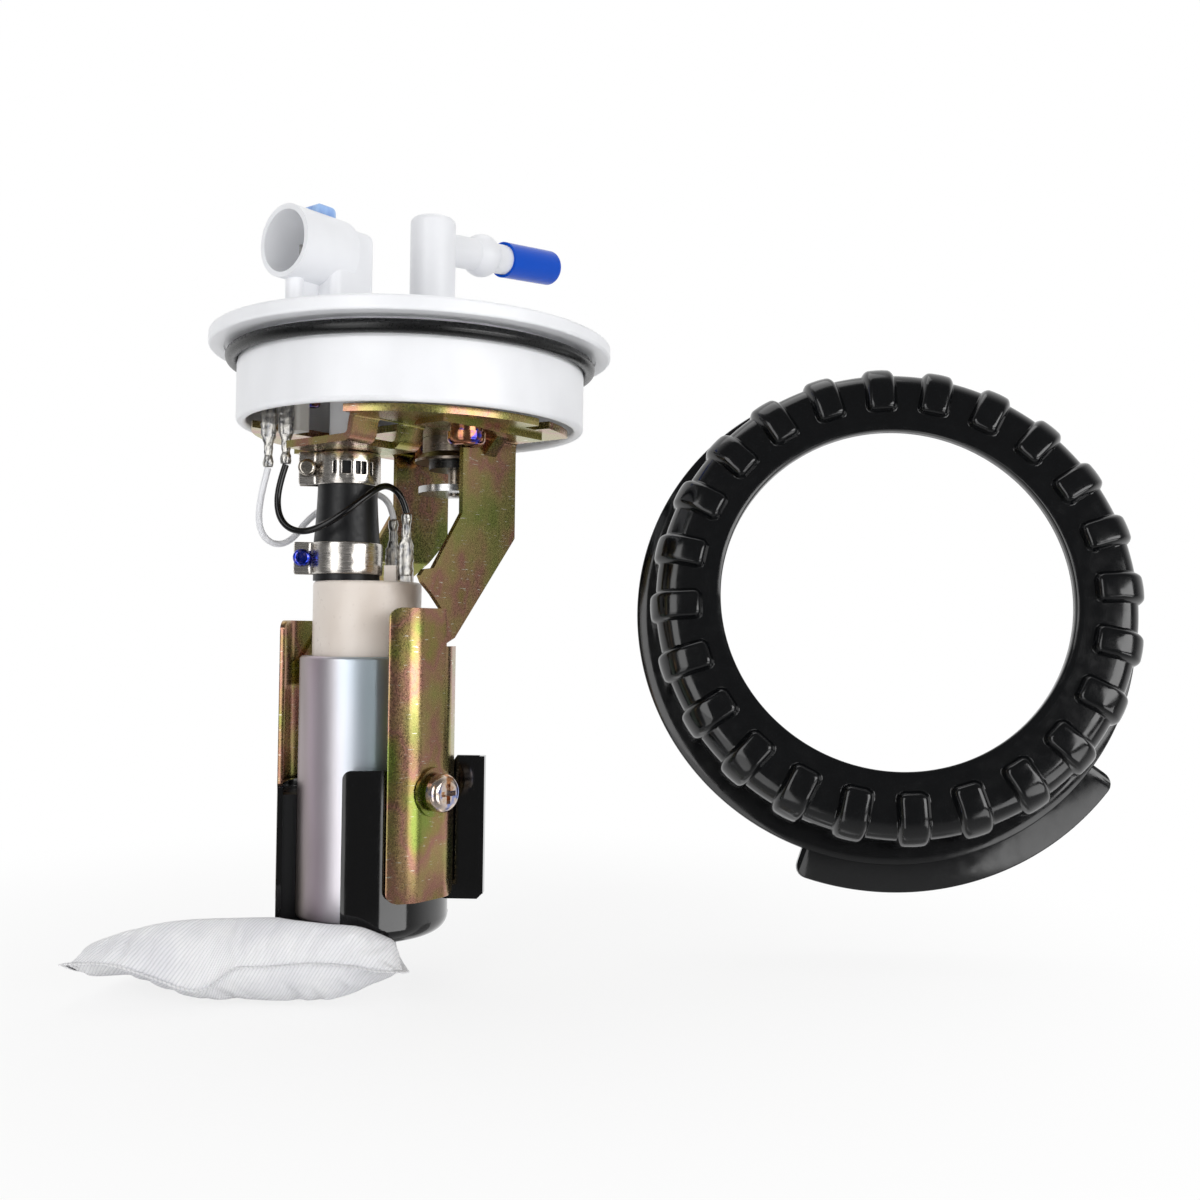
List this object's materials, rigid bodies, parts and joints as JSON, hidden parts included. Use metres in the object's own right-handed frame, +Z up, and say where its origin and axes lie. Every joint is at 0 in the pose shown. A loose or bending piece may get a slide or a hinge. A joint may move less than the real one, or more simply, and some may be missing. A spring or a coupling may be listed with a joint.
{
  "type": "fuel pump module",
  "caption": "In-tank fuel pump module: sealed flange with hose spigot and plug socket, hanging bracket, electric pump in a cup, sock strainer and lock ring.",
  "frame": {"origin": "on the flange's axis, at the underside that seats on the tank", "axes": "+Z up out of the tank along the flange's axis; +X the way the outlet nipple points; the two holder screws lie along Y"},
  "size_m": [0.2604, 0.2401, 0.2319],
  "materials": {
    "pom": "moulded natural acetal, soft gloss",
    "seal_rubber": "matte black rubber",
    "blue_vinyl": "soft blue vinyl",
    "pale_blue": "pale blue plastic",
    "tin": "tinned metal",
    "chromate": "yellow chromate plated steel",
    "screw": "iridescent plated screw",
    "stainless": "stainless steel",
    "zinc": "satin zinc plate",
    "beige": "beige plastic",
    "black_coat": "gloss black coating",
    "black_rubber": "satin black rubber",
    "wire_black": "black insulation",
    "wire_white": "white insulation",
    "white_plastic": "white plastic",
    "core": "laminated steel",
    "copper": "copper",
    "carbon": "pressed carbon",
    "ferrite": "ferrite magnet",
    "steel": "ground steel",
    "brass": "turned brass",
    "filter_cloth": "white woven filter cloth",
    "ring_plastic": "gloss black moulded plastic"
  },
  "bodies": {
    "module": {"flange": "pom", "socket_pins": "tin", "connector_lock": "pale_blue", "seal_ring": "seal_rubber", "mount_plate": "chromate", "front_leg": "chromate", "back_leg": "chromate", "front_wing": "chromate", "back_wing": "chromate", "wing_screws": "screw", "wing_washers": "screw", "spring_washers": "screw", "wing_nuts": "zinc", "plate_screws": "screw", "terminal_screw": "screw", "terminal_block": "white_plastic", "upper_lugs": "tin", "lower_lugs": "tin", "upper_blades": "tin", "pump_blades": "tin", "wire_white": "wire_white", "wire_black": "wire_black", "hose": "black_rubber", "upper_clamp": "stainless", "lower_clamp": "stainless", "clamp_screws": "screw", "regulator_body": "stainless", "regulator_seal": "seal_rubber", "regulator_disc": "zinc", "regulator_spring": "steel", "pump_can": "zinc", "end_cap": "beige", "inlet_cover": "beige", "chamber_cover": "beige", "bearings": "brass", "magnets": "ferrite", "brush_spring_a": "steel", "brush_spring_b": "steel", "outlet_insert": "brass", "check_spring": "steel", "relief_spring": "steel", "cup": "black_coat", "cup_liner": "black_rubber", "sock": "filter_cloth", "sock_neck": "pale_blue", "sock_clip": "blue_vinyl"},
    "armature": {"armature_core": "core", "windings": "copper", "commutator": "copper", "shaft": "steel", "impeller": "carbon"},
    "transit_cap": {"transit_cap": "blue_vinyl"},
    "check_valve": {"check_valve": "brass"},
    "relief_valve": {"relief_valve": "brass"},
    "regulator_valve": {"regulator_valve": "steel"},
    "brush_a": {"brush_a": "carbon"},
    "brush_b": {"brush_b": "carbon"},
    "lock_ring": {"lock_ring": "ring_plastic"}
  },
  "joints": [
    {"name": "armature_spin", "type": "hinge", "parent": "module", "child": "armature", "pos_m": [-0.017, 0, -0.12], "axis": [0, 0, 1], "continuous": true},
    {"name": "transit_cap_pull", "type": "slide", "parent": "module", "child": "transit_cap", "axis": [0.9925, 0, 0.1219], "range_m": [0, 0.03]},
    {"name": "outlet_check_lift", "type": "slide", "parent": "module", "child": "check_valve", "axis": [0, 0, 1], "range_m": [0, 0.0015], "stiffness_N_per_m": 60, "springref_m": -0.004, "deforming": ["check_spring"]},
    {"name": "relief_lift", "type": "slide", "parent": "module", "child": "relief_valve", "axis": [0, 0, 1], "range_m": [0, 0.0015], "stiffness_N_per_m": 400, "springref_m": -0.004, "deforming": ["relief_spring"]},
    {"name": "regulator_lift", "type": "slide", "parent": "module", "child": "regulator_valve", "axis": [0, 0, -1], "range_m": [0, 0.0012], "stiffness_N_per_m": 900, "springref_m": -0.004, "deforming": ["regulator_spring"]},
    {"name": "brush_a_feed", "type": "slide", "parent": "module", "child": "brush_a", "axis": [0, 0, 1], "range_m": [0, 0.004], "stiffness_N_per_m": 80, "springref_m": -0.006, "deforming": ["brush_spring_a"]},
    {"name": "brush_b_feed", "type": "slide", "parent": "module", "child": "brush_b", "axis": [0, 0, 1], "range_m": [0, 0.004], "stiffness_N_per_m": 80, "springref_m": -0.006, "deforming": ["brush_spring_b"]},
    {"name": "lock_ring_turn", "type": "hinge", "parent": "module", "child": "lock_ring", "pos_m": [0.1021, -0.1116, -0.0698], "axis": [-0.8194, -0.5422, 0.1861], "continuous": true}
  ]
}
